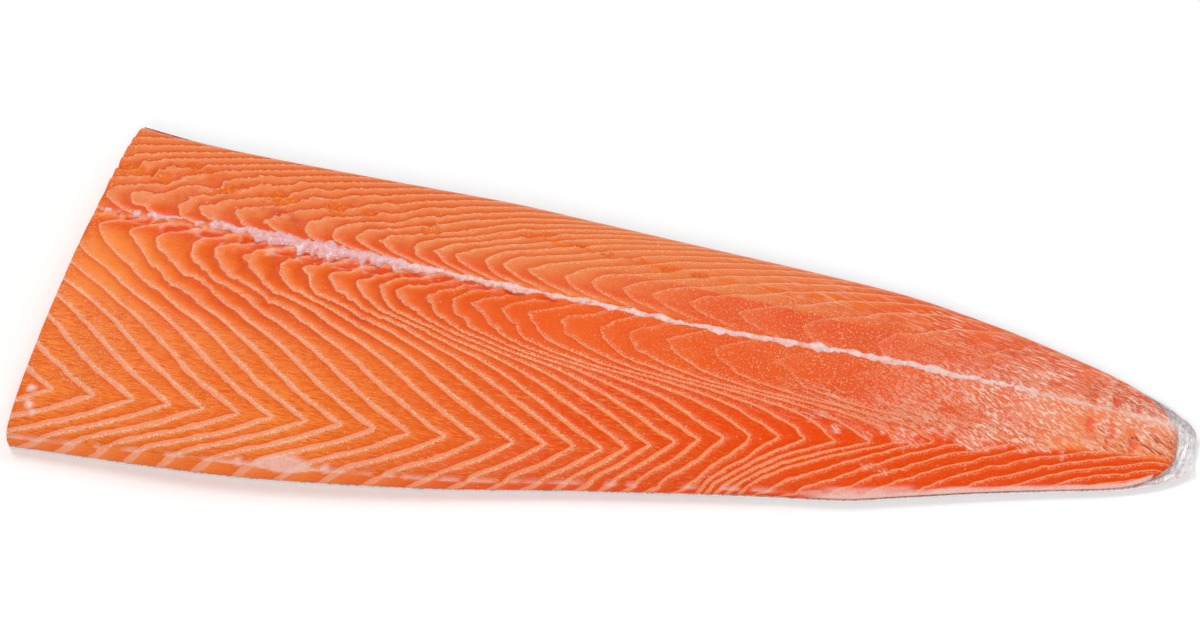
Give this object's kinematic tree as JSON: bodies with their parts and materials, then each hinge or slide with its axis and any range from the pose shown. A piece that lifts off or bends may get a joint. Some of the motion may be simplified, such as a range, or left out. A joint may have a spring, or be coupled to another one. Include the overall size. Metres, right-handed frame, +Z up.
{
  "type": "raw salmon fillet",
  "caption": "Tail half of a raw salmon side, skin down: orange flakes between pale fat lines, a pale ribbon along the middle, a knife cut at the head end and skin past the flesh at the tail.",
  "frame": {"origin": "middle of the underside, on the surface that the skin lies on", "axes": "+X from the head cut to the tail tip, +Y from the belly edge to the back edge, +Z up out of the cut flesh"},
  "size_m": [0.3714, 0.1262, 0.0224],
  "materials": {
    "flesh": "moist raw flesh, orange with pale fat lines",
    "skin": "moist silver-grey fish skin with small scales"
  },
  "bodies": {
    "root": {"flesh": "flesh", "skin": "skin"}
  },
  "joints": []
}
